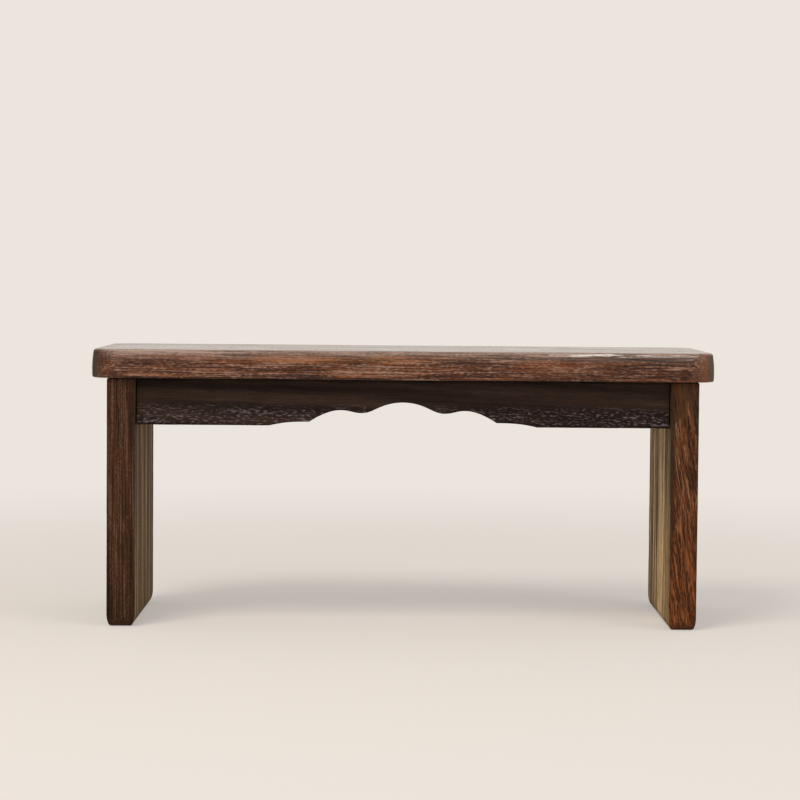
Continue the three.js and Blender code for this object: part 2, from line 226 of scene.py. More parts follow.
# How a board was sawn and brushed. along, across and through are the axes of its grain, its width and its
# thickness. The pith lies at `pith` from the board's centre, across and through it, and the rings lie `pitch`
# apart. The grain runs out by `slope` across and through the board, and wavers by `wave` over `calm`. Its
# lines are about `streak` long and broken into dashes `dash` long, and the brush dug `depth` deep between
# them. Millimetres, and slopes as shares.
Timber = namedtuple("Timber", "along across through pith pitch slope wave calm streak dash depth seed")
SEAT_TIMBER = Timber(X, Y, Z, (-50, -75), 1.8, (0, 0.004), 1.6, 70, 50, 3.0, 0.26, 11.0)
LEFT_TIMBER = Timber(Z, Y, X, (-45, 40), 2.0, (0.01, 0.006), 0.9, 80, 90, 2.0, 0.22, 23.0)
RIGHT_TIMBER = Timber(Z, Y, X, (-50, -36), 2.1, (0.0, 0.14), 2.2, 36, 26, 3.6, 0.28, 37.0)
APRON_TIMBER = Timber(X, Z, Y, (-60, 20), 2.0, (0.04, 0), 1.6, 40, 36, 2.8, 0.24, 53.0)
RAIL_TIMBER = Timber(Y, Z, X, (20, 30), 2.8, (0, 0.01), 2.0, 60, 60, 3.0, 0.25, 71.0)
# Sitting rubs the top smooth, so this share of its grooves is gone. The brush leaves as little on end grain.
RUBBED_SHARE = 0.75

# What the brush follows, in mm: the rings, which drift and wander, and fibres and coarser streaks
DRIFT_LENGTH = 160
DRIFT_WIDTH = 60
WANDER_LENGTH = 34
WANDER_WIDTH = 12
WANDER_SHARE = 0.4
FIBRE_DASHES = 4
FIBRE_WIDTH = 0.95
COARSE_LENGTH = 50
COARSE_WIDTH = 2.4
# How the height rises across a ring, and what each of the three gives to it
RING_POWER = 1.6
RING_SHARE = 0.40
FIBRE_SHARE = 0.42
COARSE_SHARE = 0.42
DUG_SHARE = 0.1


def brushed_height(place, timber):
    """How much of the surface the brush left at a place in mm from the board's centre.

    1 is the top of a hard late-wood line, and 0 is the bottom of a groove in the soft early wood.
    """
    g = place[timber.along]
    a = place[timber.across] + timber.slope[0] * g
    t = place[timber.through] + timber.slope[1] * g
    seed = timber.seed
    drift = noise.noise(Vector((g / DRIFT_LENGTH + seed, a / DRIFT_WIDTH, t / DRIFT_WIDTH)))
    wander = noise.noise(Vector((g / WANDER_LENGTH, a / WANDER_WIDTH + seed, t / WANDER_WIDTH)))
    wavering = timber.wave * (drift + WANDER_SHARE * wander)
    radius = math.hypot(a - timber.pith[0], t - timber.pith[1]) + wavering
    phase = radius / timber.pitch
    rise = (phase - math.floor(phase)) ** RING_POWER
    fibre_length = FIBRE_DASHES * timber.dash
    fibre = 0.5 + 0.5 * noise.noise(Vector((g / fibre_length, a / FIBRE_WIDTH, t / FIBRE_WIDTH + seed)))
    coarse = 0.5 + 0.5 * noise.noise(Vector((g / COARSE_LENGTH, a / COARSE_WIDTH + seed, t / COARSE_WIDTH)))
    return min(1.0, max(0.0, RING_SHARE * rise + FIBRE_SHARE * fibre + COARSE_SHARE * coarse - DUG_SHARE))


def brush(bm, centre, timber):
    """Digs the grooves of the brush into a board, and keeps each point's height for the finish."""
    heights = bm.verts.layers.float.new("relief")
    bm.normal_update()
    for v in bm.verts:
        height = brushed_height((v.co - centre) / MM, timber)
        v[heights] = height
        left = 1 - RUBBED_SHARE * max(v.normal.z, abs(v.normal[timber.along]))
        v.co -= v.normal * (timber.depth * MM * left * (1 - height))


def mesh_object(name, bm, smooth_angle=BOARD_SMOOTH_ANGLE):
    """A finished mesh as an object at the origin, smooth but for edges sharper than an angle in degrees."""
    mesh = bpy.data.meshes.new(name)
    bm.to_mesh(mesh)
    bm.free()
    mesh.polygons.foreach_set("use_smooth", [True] * len(mesh.polygons))
    mesh.set_sharp_from_angle(angle=math.radians(smooth_angle))
    piece = bpy.data.objects.new(name, mesh)
    bpy.context.scene.collection.objects.link(piece)
    return piece


def combined(bm, others, operation):
    """A closed mesh joined with others or cut by them, each a bmesh."""
    base = mesh_object("base", bm)
    tools = [mesh_object("tool", other) for other in others]
    for tool in tools:
        modifier = base.modifiers.new("cut", "BOOLEAN")
        modifier.solver = "MANIFOLD"
        modifier.operation = operation
        modifier.object = tool
    evaluated = base.evaluated_get(bpy.context.evaluated_depsgraph_get())
    result = bmesh.new()
    result.from_mesh(evaluated.to_mesh())
    evaluated.to_mesh_clear()
    for used in [base, *tools]:
        mesh = used.data
        bpy.data.objects.remove(used)
        bpy.data.meshes.remove(mesh)
    return result


def joined(bms):
    """Several closed meshes in one, for a single cut."""
    whole = bmesh.new()
    for bm in bms:
        part = bpy.data.meshes.new("part")
        bm.to_mesh(part)
        bm.free()
        whole.from_mesh(part)
        bpy.data.meshes.remove(part)
    return whole


def turned(profile, steps=TURNED_STEPS):
    """A profile of (radius, height) points, from axis to axis, spun about Z into a closed mesh."""
    bm = bmesh.new()
    verts = [bm.verts.new((radius, 0, height)) for radius, height in profile]
    edges = [bm.edges.new(pair) for pair in zip(verts, verts[1:])]
    bmesh.ops.spin(
        bm,
        geom=[*verts, *edges],
        cent=(0, 0, 0),
        axis=(0, 0, 1),
        angle=2 * math.pi,
        steps=steps,
        use_merge=True,
    )
    bmesh.ops.remove_doubles(bm, verts=bm.verts, dist=SAME_PLACE)
    bmesh.ops.recalc_face_normals(bm, faces=bm.faces)
    return bm


def placed(bm, place, turn=None):
    """Turns a mesh about the origin and moves it to its place."""
    matrix = Matrix.Translation(place) @ (turn or Matrix()).to_4x4()
    bmesh.ops.transform(bm, matrix=matrix, verts=bm.verts)
    return bm


TO_PLUS_X = Matrix.Rotation(math.pi / 2, 3, "Y")
TO_MINUS_X = Matrix.Rotation(-math.pi / 2, 3, "Y")
TO_PLUS_Y = Matrix.Rotation(-math.pi / 2, 3, "X")
UPSIDE_DOWN = Matrix.Rotation(math.pi, 3, "X")


def mirrored_profile(upper):
    """The whole profile of a turned piece that is alike at both ends, from the points of its upper half."""
    return [*((radius, -height) for radius, height in reversed(upper)), *upper]


def rod(radius, length):
    """A plain rod along Z, centred on the origin."""
    return turned(mirrored_profile([(radius, length / 2), (0, length / 2)]))


# Screws as shank and head radius and length. Their heads lie at z = 0 and they point down.
Screw = namedtuple("Screw", "shank head length")
HINGE_SCREW = Screw(1.4 * MM, 2.5 * MM, 12 * MM)
RAIL_SCREW = Screw(2 * MM, 4 * MM, 40 * MM)
SCREW_TIP_SHARE = 0.2
SCREW_TAPER_SHARE = 0.7
SCREW_RIM_SHARE = 0.1
SLOT_WIDTH_SHARE = 0.32
SLOT_DEPTH_SHARE = 0.28
# The rounded rim of a screw's head: how far in and down its points lie, as shares of the rim
RIM_POINT_SHARES = [(0, 1), (0, 0.6), (ROUND_SHARE, 0.15), (1, 0)]


def wood_screw(size):
    """A slotted countersunk screw with a thin rounded rim."""
    rim = size.head * SCREW_RIM_SHARE
    profile = [
        (0, -size.length),
        (size.shank * SCREW_TIP_SHARE, -size.length),
        (size.shank, -size.length * SCREW_TAPER_SHARE),
        (size.shank, size.shank - size.head - rim),
        *((size.head - rim * inwards, -rim * down) for inwards, down in RIM_POINT_SHARES),
        (0, 0),
    ]
    slot = bmesh.new()
    bmesh.ops.create_cube(slot, size=1)
    slot_size = (2 * size.head + 2 * OVERRUN, size.head * SLOT_WIDTH_SHARE, 2 * size.head * SLOT_DEPTH_SHARE)
    bmesh.ops.scale(slot, vec=slot_size, verts=slot.verts)
    return combined(turned(profile), [slot], "DIFFERENCE")


def screw_hole(size):
    """The countersunk hole for such a screw, open above its head."""
    shank, head = size.shank + SCREW_GAP, size.head + SCREW_GAP
    rim = size.head * SCREW_RIM_SHARE
    bottom = -size.length - SCREW_GAP
    profile = [
        (0, bottom),
        (shank, bottom),
        (shank, shank - head - rim),
        (head, -rim),
        (head, OVERRUN),
        (0, OVERRUN),
    ]
    return turned(profile)


def hinge_side(node):
    """1 or -1, as a hinge's leaf or screw faces +X or -X. Those of a leg face out, and those of a rail in."""
    side = SIDES[node.split("_")[1]]
    return side if "_leg_" in node else -side


def screw_place_and_turn(node):
    """Where a CAD screw's head lies and how the screw is turned, from its box."""
    low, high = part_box(node)
    middle = (low + high) / 2
    if high.z - low.z > high.x - low.x:
        return Vector((middle.x, middle.y, low.z)), UPSIDE_DOWN
    if hinge_side(node) > 0:
        return Vector((low.x, middle.y, middle.z)), TO_MINUS_X
    return Vector((high.x, middle.y, middle.z)), TO_PLUS_X


def screw_holes(size, nodes):
    return [placed(screw_hole(size), *screw_place_and_turn(node)) for node in nodes]


def bores(nodes, gap):
    """Round upright holes that upright pins or discs fit with a gap all round."""
    holes = []
    for node in nodes:
        low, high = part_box(node)
        holes.append(placed(rod((high.x - low.x) / 2 + gap, high.z - low.z + 2 * gap), (low + high) / 2))
    return holes


def named(start, words=""):
    return sorted(name for name in frame["nodes"] if name.startswith(start) and words in name)


DOWELS = named("apron_dowel")


def board(bm, name, node, body, finish, timber, holes):
    """Cuts a board's holes, brushes it and puts it in the place of its CAD node."""
    low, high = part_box(node)
    bm = combined(bm, [joined(holes)], "DIFFERENCE")
    brush(bm, (low + high) / 2, timber)
    piece = mesh_object(name, bm)
    piece.data.materials.append(finish)
    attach(piece, body)
    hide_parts(node)


def seat_board(finish):
    low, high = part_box("seat_board")
    bm = gridded_block(grid_lines(low, high, SEAT_STEPS))
    round_upright(bm, low, high, SEAT_CORNER_RADIUS, SEAT_TOP_ROUND, SEAT_BOTTOM_EASE)
    crown_sides(bm, low, high)
    holes = bores(DOWELS, PRESS_GAP) + bores(named("seat_magnet"), PRESS_GAP)
    holes += screw_holes(RAIL_SCREW, named("rail_screw"))
    board(bm, "seat_board_brushed", "seat_board", "seat", finish, SEAT_TIMBER, holes)


def leg(side, finish, timber):
    node = f"leg_{side}"
    low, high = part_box(node)
    bm = gridded_block(grid_lines(low, high, LEG_STEPS))
    round_upright(bm, low, high, LEG_EDGE_EASE, LEG_TOP_EASE, FOOT_ROUND_WIDTH, FOOT_ROUND_HEIGHT)
    holes = bores(named(f"leg_magnet_{side}"), PRESS_GAP)
    holes += screw_holes(HINGE_SCREW, named(f"hinge_{side}", "leg_screw"))
    board(bm, f"leg_{side}_brushed", node, f"{side}_leg", finish, timber, holes)


def end_rail(side, finish):
    node = f"end_rail_{side}"
    low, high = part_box(node)
    bm = gridded_block(grid_lines(low, high, RAIL_STEPS))
    round_upright(bm, low, high, RAIL_TOP_EASE, RAIL_TOP_EASE, RAIL_EDGE_EASE)
    holes = screw_holes(RAIL_SCREW, named(f"rail_screw_{side}"))
    holes += screw_holes(HINGE_SCREW, named(f"hinge_{side}", "rail_screw"))
    board(bm, f"end_rail_{side}_brushed", node, "seat", finish, RAIL_TIMBER, holes)


def scallop_edge():
    """The scallop's edge from its outer end to its middle, as (distance from the middle, rise) points."""
    points = [Vector((out * SCALLOP_HALF_WIDTH, up * SCALLOP_RISE)) for out, up in SCALLOP_SHARES]
    edge = []
    for i in range(0, len(points) - 1, 3):
        edge += geometry.interpolate_bezier(*points[i : i + 4], SCALLOP_STEPS)[:-1]
    return [*edge, points[-1]]


def rise_at(x, edge):
    """How far the scalloped edge has risen at a place along the apron."""
    out = abs(x)
    for (far, far_rise), (near, near_rise) in zip(edge, edge[1:]):
        if near <= out <= far:
            share = (far - out) / (far - near)
            return far_rise + (near_rise - far_rise) * share
    return 0.0


def ease_and_scallop(bm, low, high):
    """Rounds the apron's long edges and lifts its lower edge into the scallop."""
    edge = scallop_edge()
    for v in bm.verts:
        inset = min(v.co.y - low.y, high.y - v.co.y)
        new_inset, lift = rounded(inset, v.co.z - low.z, APRON_EDGE_EASE)
        new_inset, drop = rounded(new_inset, high.z - v.co.z, APRON_TOP_EASE)
        outwards = -1 if v.co.y < (low.y + high.y) / 2 else 1
        v.co.y += outwards * (inset - new_inset)
        height = lift if v.co.z - low.z < APRON_EDGE_EASE else high.z - drop - low.z
        share = height / (high.z - low.z)
        v.co.z = low.z + height + rise_at(v.co.x, edge) * (1 - share)


def front_apron(finish):
    low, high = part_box("front_apron")
    # The mesh has a line at each corner of the scallop
    corner = SCALLOP_SHARES[3][0] * SCALLOP_HALF_WIDTH
    marks = [low.x, -SCALLOP_HALF_WIDTH, -corner, corner, SCALLOP_HALF_WIDTH, high.x]
    lines = [low.x]
    for start, end in zip(marks, marks[1:]):
        lines += stations(start, end, *APRON_STEPS[X])[1:]
    bm = gridded_block([lines, *grid_lines(low, high, APRON_STEPS)[1:]])
    ease_and_scallop(bm, low, high)
    holes = bores(DOWELS, PRESS_GAP)
    board(bm, "front_apron_brushed", "front_apron", "seat", finish, APRON_TIMBER, holes)


def fitting(bm, node, finish):
    """Puts a finished fitting in the place of its CAD node."""
    piece = mesh_object(f"{node}_made", bm, FITTING_SMOOTH_ANGLE)
    piece.data.materials.append(finish)
    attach(piece, frame["nodes"][node]["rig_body"])
    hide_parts(node)


def leaf_plate(length, height):
    """A hinge's plate, centred on the origin: round upper corners and eased edges."""
    plate = bmesh.new()
    bmesh.ops.create_cube(plate, size=1)
    bmesh.ops.scale(plate, vec=(LEAF_THICKNESS, length, height), verts=plate.verts)
    upper = [e for e in plate.edges if all(v.co.z > 0 for v in e.verts)]
    corners = [e for e in upper if e.verts[0].co.y == e.verts[1].co.y]
    settings = {"affect": "EDGES", "profile": 0.5, "material": -1, "clamp_overlap": True}
    bmesh.ops.bevel(plate, geom=corners, offset=LEAF_CORNER_RADIUS, segments=LEAF_CORNER_STEPS, **settings)
    bmesh.ops.bevel(plate, geom=plate.edges, offset=LEAF_EDGE_EASE, segments=LEAF_EDGE_STEPS, **settings)
    return plate


def knuckles(pivot, sizes, gap=0.0):
    """Rods about a hinge's pin, from (place along the pin, length) pairs, and larger by a gap all round."""
    return [
        placed(rod(KNUCKLE_RADIUS + gap, size + 2 * gap), pivot + Vector((0, y, 0)), TO_PLUS_Y)
        for y, size in sizes
    ]


def hinge_leaf(node, finish):
    """A rolled brass leaf: a plate with round corners, its own knuckles, and countersunk holes."""
    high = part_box(node)[1]
    pin_low, pin_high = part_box(node.replace("leg_leaf", "pin").replace("rail_leaf", "pin"))
    pivot = (pin_low + pin_high) / 2
    full = pin_high.y - pin_low.y
    outer = full * (1 - MIDDLE_KNUCKLE_SHARE) / 2 - KNUCKLE_GAP
    middles = [(0, full * MIDDLE_KNUCKLE_SHARE)]
    outers = [(end * (full - outer) / 2, outer) for end in (-1, 1)]
    own, others = (middles, outers) if "leg_leaf" in node else (outers, middles)

    height = high.z - pivot.z
    aside = hinge_side(node) * (KNUCKLE_RADIUS - LEAF_THICKNESS / 2)
    plate = placed(leaf_plate(full, height), pivot + Vector((aside, 0, height / 2)))
    leaf = combined(plate, knuckles(pivot, own), "UNION")
    bore = placed(rod((pin_high.x - pin_low.x) / 2 + PIN_GAP, full + 2 * OVERRUN), pivot, TO_PLUS_Y)
    holes = screw_holes(HINGE_SCREW, named(node.replace("leaf", "screw")))
    leaf = combined(leaf, [bore, *knuckles(pivot, others, KNUCKLE_GAP), *holes], "DIFFERENCE")
    fitting(leaf, node, finish)


def hinge_pin(node, finish):
    """A steel pin with domed ends."""
    low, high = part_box(node)
    radius, end = (high.x - low.x) / 2, (high.y - low.y) / 2
    dome = radius * PIN_DOME_SHARE
    arc = [i / PIN_DOME_STEPS * math.pi / 2 for i in range(PIN_DOME_STEPS)]
    upper = [*((radius * math.cos(a), end - dome + dome * math.sin(a)) for a in arc), (0, end)]
    pin = placed(turned(mirrored_profile(upper), PIN_STEPS), (low + high) / 2, TO_PLUS_Y)
    fitting(pin, node, finish)


def disc_magnet(node, finish):
    """A nickel-plated disc with eased edges."""
    low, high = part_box(node)
    radius, end = (high.x - low.x) / 2, (high.z - low.z) / 2
    ease = MAGNET_EDGE_EASE
    part = ease * ROUND_SHARE
    upper = [(radius, end - ease), (radius - part, end - part), (radius - ease, end), (0, end)]
    fitting(placed(turned(mirrored_profile(upper)), (low + high) / 2), node, finish)


def linear(code):
    """An sRGB hex colour as linear RGBA."""
    shares = [int(code[i : i + 2], 16) / 255 for i in (0, 2, 4)]
    return [*((s / 12.92 if s <= 0.04045 else ((s + 0.055) / 1.055) ** 2.4) for s in shares), 1.0]


def add(tree, kind, inputs=(), output=None, stops=(), **settings):
    """Adds a node with its settings and links, and returns one of its outputs, by default the first shown.

    `inputs` are numbers, hex colours or outputs to link, by name or in the order of the sockets that the node
    shows. `stops` are a ramp's (place, hex colour) pairs.
    """
    made = tree.nodes.new("ShaderNode" + kind)
    for name, value in settings.items():
        setattr(made, name, value)
    shown = [socket for socket in made.inputs if socket.enabled]
    given = inputs.items() if isinstance(inputs, dict) else enumerate(inputs)
    for key, value in given:
        socket = made.inputs[key] if isinstance(key, str) else shown[key]
        if isinstance(value, bpy.types.NodeSocket):
            tree.links.new(value, socket)
        else:
            socket.default_value = linear(value) if isinstance(value, str) else value
    if stops:
        elements = made.color_ramp.elements
        while len(elements) < len(stops):
            elements.new(1.0)
        for element, (place, code) in zip(elements, stops):
            element.position = place
            element.color = linear(code)
    if output is not None:
        return made.outputs[output]
    return next((socket for socket in made.outputs if socket.enabled), None)


def product(tree, *values):
    """The product of numbers and outputs."""
    result = values[0]
    for value in values[1:]:
        result = add(tree, "Math", [result, value], operation="MULTIPLY")
    return result


def total(tree, *terms):
    """The sum of (value, weight) pairs."""
    result = 0.0
    for value, weight in terms:
        result = add(tree, "Math", [value, weight, result], operation="MULTIPLY_ADD")
    return result


def length_on(tree, vector, axis):
    """How long a vector is along an axis, whichever way it points."""
    return add(tree, "Math", [add(tree, "SeparateXYZ", [vector], axis)], operation="ABSOLUTE")


def layered(tree, tone, layers):
    """A colour with others laid over it in turn, as (share, colour) pairs."""
    for share, colour in layers:
        tone = add(tree, "Mix", [share, tone, colour], data_type="RGBA")
    return tone


def noisy(tree, place, sizes, detail, seed=0.0, output=None):
    """Noise whose spots are about `sizes` long along X, Y and Z."""
    scale = [1 / size for size in sizes]
    scaled = add(tree, "Mapping", {"Vector": place, "Location": [seed] * 3, "Scale": scale})
    return add(tree, "TexNoise", {"Vector": scaled, "Scale": 1, "Detail": detail}, output)


def new_material(name):
    made = bpy.data.materials.new(name)
    made.use_nodes = True
    made.node_tree.nodes.clear()
    return made, made.node_tree


# Colours from the bottom of the grooves to the rubbed ridges, of painted glints and of wear with its painted
# sheen, of warm patches, and of the scorched rim with its painted shade
Palette = namedtuple("Palette", "groove deep body ridge pale fleck warm rim")
# Where a palette's first five colours lie between the grooves and the ridges
TONE_PLACES = (0.0, 0.28, 0.5, 0.76, 1.0)
# Colours of the short grain on round corners, and of the end grain, at a board's low and high ends
Ends = namedtuple("Ends", "short_low short_high end_low end_high")
# What a board looks like: the palettes of its edges, of its outer face and of the face towards the bench's
# middle, which is paler on the legs as painted light, and its ends. Then how much of it is warm, how strong
# the painted glints on its ridges are and how high they reach, the height above which it shows wear and a
# painted sheen, how many mm wide the scorched rim with its painted shade is and how strong, how rough edges
# and faces are, and how glossy.
Look = namedtuple(
    "Look",
    "edge outer inner ends warmth flecks flecks_to worn_from rim rim_share roughness face_roughness gloss",
)
# A patch on a board, of its own colour, of painted shade or of painted glints: its place and half its length,
# reach and height, its colour and its strength, and whether it is broken into short dashes
Mark = namedtuple("Mark", "place size colour share broken", defaults=(False,))
# The patterns that noise draws along the grain: their length, as a multiple of the board's streaks or dashes
# and in mm for the bands, their width in mm, and the noise's detail and seed
Pattern = namedtuple("Pattern", "stretch width detail seed")
LINES = Pattern(1, 0.75, 1, 3.1)
DASHES = Pattern(1, 0.8, 1, 9.7)
STREAKS = Pattern(1, 1.8, 1, 7.7)
PATCHES = Pattern(1.5, 7, 2, 13.3)
PORES = Pattern(6, 0.65, 1, 21.9)
AMBER = Pattern(1, 1.6, 1, 27.1)
PAINTED_GLINTS = Pattern(1.2, 1, 1, 31.7)
BANDS = Pattern(240, 8, 1, 41.3)
# Turns that bring a board's grain to X
GRAIN_TURNS = {X: (0, 0, 0), Y: (0, 0, -math.pi / 2), Z: (0, math.pi / 2, 0)}
# How much of its slope through the board the grain shows on a broad face
FACE_SLOPE_SHARE = 0.1
# How far from an arris the scorched rim is at its full depth, in mm
EDGE_RIM_INSET = 0.3
FACE_RIM_INSET = 1
# Over how much height the painted glints fade out at their limit
GLINT_FADE = 4 * MM
# The marks that the saw left on end grain, in mm
SAW_LINE_WIDTH = 1 / 0.7
SAW_LINE_LENGTH = 20
# How long the splinters of a knot's ragged rim are, in mm
KNOT_SPLINTER = 1.25
# What the bump adds to the relief of the mesh, which the grid is too coarse for
BUMP_DEPTH = 0.3 * MM

# A point on a board, as outputs: its place, its place in mm from the board's centre, how far it lies along
# the grain, which way it faces, how far it faces up and along the grain, whether it is on a broad face or on
# end grain, and its height. Then the corners of the board's box.
Where = namedtuple("Where", "place centred reach normal up endwise on_face on_end level low high")
# What the grain draws there, and how high the brush left the surface, about 0 on the whole
Grain = namedtuple("Grain", "lines dashes streaks patches pores amber flecks bands relief height")


def where_on(tree, node, timber):
    low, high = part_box(node)
    place = add(tree, "TexCoord", output="Object")
    normal = add(tree, "TexCoord", output="Normal")
    centre = -(low + high) / 2 / MM
    centred = add(tree, "Mapping", {"Vector": place, "Location": centre, "Scale": [1 / MM] * 3})
    flat = length_on(tree, normal, timber.through)
    endwise = length_on(tree, normal, timber.along)
    return Where(
        place=place,
        centred=centred,
        reach=add(tree, "SeparateXYZ", [centred], timber.along),
        normal=normal,
        up=add(tree, "SeparateXYZ", [normal], Z),
        endwise=endwise,
        on_face=add(tree, "MapRange", [flat, 0.55, 0.85]),
        on_end=add(tree, "MapRange", [endwise, 0.65, 0.87]),
        level=add(tree, "SeparateXYZ", [place], Z),
        low=low,
        high=high,
    )


def drawn_out(tree, grain, length, pattern, output=None):
    """Noise drawn out along the grain, as long and wide as the real streaks in mm."""
    sizes = (length * pattern.stretch, pattern.width, pattern.width)
    return noisy(tree, grain, sizes, pattern.detail, pattern.seed, output)


def unit(axis):
    return Vector([1.0 if i == axis else 0.0 for i in (X, Y, Z)])


def grain_place(tree, where, timber):
    """Millimetres from the board's centre, with the grain along X, and tilted and wavering as it is."""
    # The slope through the board tilts the lines on its edges, and its broad faces keep long straight ones
    kept = add(tree, "MapRange", [where.on_face, 0.0, 1.0, 1.0, FACE_SLOPE_SHARE])
    tilted = product(tree, where.reach, kept)
    across = unit(timber.across) * timber.slope[0]
    through = unit(timber.through) * timber.slope[1]
    sloped = add(tree, "VectorMath", [where.reach, across, where.centred], operation="MULTIPLY_ADD")
    sloped = add(tree, "VectorMath", [tilted, through, sloped], operation="MULTIPLY_ADD")
    straight = add(tree, "Mapping", {"Vector": sloped, "Rotation": GRAIN_TURNS[timber.along]})
    pattern = Pattern(1, timber.calm / 4, 2, timber.seed)
    waver = drawn_out(tree, straight, timber.calm, pattern, "Color")
    aside = 2 * timber.wave
    bend = [waver, (0, aside, aside), (0, -aside / 2, -aside / 2)]
    bent = add(tree, "VectorMath", bend, operation="MULTIPLY_ADD")
    return add(tree, "VectorMath", [straight, bent], operation="ADD")


def round_patch(tree, where, place, size):
    """The vector from a patch's middle, 1 long at its rim."""
    scale = Vector([1 / length for length in size])
    start = Vector([-p * s for p, s in zip(place, scale)])
    return add(tree, "Mapping", {"Vector": where.place, "Location": start, "Scale": scale})


def round_a_knot(tree, where, grain, knot):
    """The grain bent round a knot, and how far each point is from the knot's middle, 1 at its rim."""
    inside = round_patch(tree, where, *knot)
    # Narrower at its top than at its foot, with a ragged rim
    height = add(tree, "SeparateXYZ", [inside], Z)
    narrowing = add(tree, "Math", [height, 0.55, 1.1], operation="MULTIPLY_ADD")
    width = product(tree, add(tree, "SeparateXYZ", [inside], X), narrowing)
    ragged = noisy(tree, grain, [KNOT_SPLINTER] * 3, 1)
    aside = add(tree, "Math", [ragged, 1.2, -0.6], operation="MULTIPLY_ADD")
    away = add(tree, "VectorMath", [add(tree, "CombineXYZ", [width, aside, height])], operation="LENGTH")
    pull = add(tree, "MapRange", [away, 0.6, 3.2, -1.5, 0.0])
    push = add(tree, "VectorMath", [inside, pull], operation="SCALE")
    return add(tree, "VectorMath", [push, (0, 0, 1), grain], operation="MULTIPLY_ADD"), away


def draw_grain(tree, place, timber):
    streak, dash = timber.streak, timber.dash
    lines = drawn_out(tree, place, streak, LINES)
    dashes = drawn_out(tree, place, dash, DASHES)
    streaks = drawn_out(tree, place, streak, STREAKS)
    patches = drawn_out(tree, place, streak, PATCHES)
    relief = add(tree, "Attribute", output="Fac", attribute_name="relief")
    weights = [(lines, 0.95), (dashes, 0.5), (streaks, 0.35), (patches, 0.55), (relief, 0.25), (1.0, -1.3)]
    return Grain(
        lines=lines,
        dashes=dashes,
        streaks=streaks,
        patches=patches,
        pores=drawn_out(tree, place, dash, PORES),
        amber=drawn_out(tree, place, streak, AMBER),
        flecks=drawn_out(tree, place, dash, PAINTED_GLINTS),
        bands=drawn_out(tree, place, 1, BANDS),
        relief=relief,
        height=total(tree, *weights),
    )


def board_tone(tree, where, grain, timber, look):
    """A board's colours: by height on its edges, and mostly by long bands on its broad faces."""
    edge_share = add(tree, "MapRange", [grain.height, -0.22, 0.22])
    bands = add(tree, "MapRange", [grain.bands, 0.38, 0.62])
    face_share = total(tree, (edge_share, 0.3), (bands, 0.7))
    warmest = total(tree, (grain.amber, 1.0), (grain.patches, 0.5))
    warm = product(tree, add(tree, "MapRange", [warmest, 0.76, 0.9]), look.warmth)
    dark_lines = add(tree, "MapRange", [grain.pores, 0.6, 0.7, 0.0, 0.6])
    # Pale flecks on the ridges: painted glints of light
    flecks = product(
        tree,
        add(tree, "MapRange", [grain.flecks, 0.53, 0.64]),
        add(tree, "MapRange", [grain.height, -0.1, 0.08, 0.3, 1.0]),
        add(tree, "MapRange", [where.level, look.flecks_to + GLINT_FADE, look.flecks_to - GLINT_FADE]),
        look.flecks,
    )

    def toned(palette, share):
        tone = add(tree, "ValToRGB", [share], stops=list(zip(TONE_PLACES, palette)))
        warmed = layered(tree, palette.warm, [(0.5, tone)])
        return layered(tree, tone, [(warm, warmed), (dark_lines, palette.groove), (flecks, palette.fleck)])

    # On the legs the palette of the faces towards the middle is paler: painted light from below
    away_from_middle = math.copysign(1.0, (where.low + where.high)[timber.through])
    outwards = product(tree, add(tree, "SeparateXYZ", [where.normal], timber.through), away_from_middle)
    outer = add(tree, "MapRange", [outwards, -0.2, 0.2])
    face = layered(tree, toned(look.inner, face_share), [(outer, toned(look.outer, face_share))])
    return layered(tree, toned(look.edge, edge_share), [(where.on_face, face)])


def rim_and_shade_layer(tree, where, grain, timber, look):
    """The scorched rim beside each arris, twice as wide on the broad faces and kept off faces that look up:
    char and painted shade.
    """
    half = (where.high - where.low) / 2 / MM
    thick, wide = half[timber.through], half[timber.across]
    through = length_on(tree, where.centred, timber.through)
    across = length_on(tree, where.centred, timber.across)
    near_edge = add(tree, "MapRange", [through, thick - look.rim, thick - EDGE_RIM_INSET])
    near_face = add(tree, "MapRange", [across, wide - 2 * look.rim, wide - FACE_RIM_INSET])
    on_edge = add(tree, "MapRange", [where.on_face, 1.0, 0.0])
    share = product(
        tree,
        total(tree, (near_edge, on_edge), (near_face, where.on_face)),
        add(tree, "MapRange", [where.up, 0.9, 0.5]),
        add(tree, "MapRange", [grain.height, -0.15, 0.15, 1.0, 0.45]),
        look.rim_share,
    )
    return share, layered(tree, look.edge.rim, [(where.on_face, look.inner.rim)])


def wear_and_sheen_layer(tree, where, grain, look):
    """Pale wear where hands lift the board, and a painted sheen fading down from the top, along the upper
    edge.
    """
    share = product(
        tree,
        add(tree, "MapRange", [where.level, look.worn_from, where.high.z, 0.0, 0.85]),
        add(tree, "MapRange", [grain.height, -0.16, 0.1, 0.3, 1.0]),
        add(tree, "MapRange", [where.up, 0.97, 0.85]),
    )
    return share, look.edge.fleck


def mark_layer(tree, where, grain, mark):
    """A patch with a ragged rim, strongest on the ridges: another colour of the wood, painted shade, or
    painted glints.
    """
    away = add(tree, "VectorMath", [round_patch(tree, where, mark.place, mark.size)], operation="LENGTH")
    ragged = total(tree, (away, 1.0), (grain.streaks, 1.6), (1.0, -0.8))
    inside = add(tree, "MapRange", [ragged, 1.1, 0.5])
    ridges = add(tree, "MapRange", [grain.height, -0.08, 0.08, 0.2, 1.0])
    share = product(tree, inside, ridges, mark.share)
    if mark.broken:
        share = product(tree, share, add(tree, "MapRange", [grain.pores, 0.48, 0.56]))
    return share, mark.colour


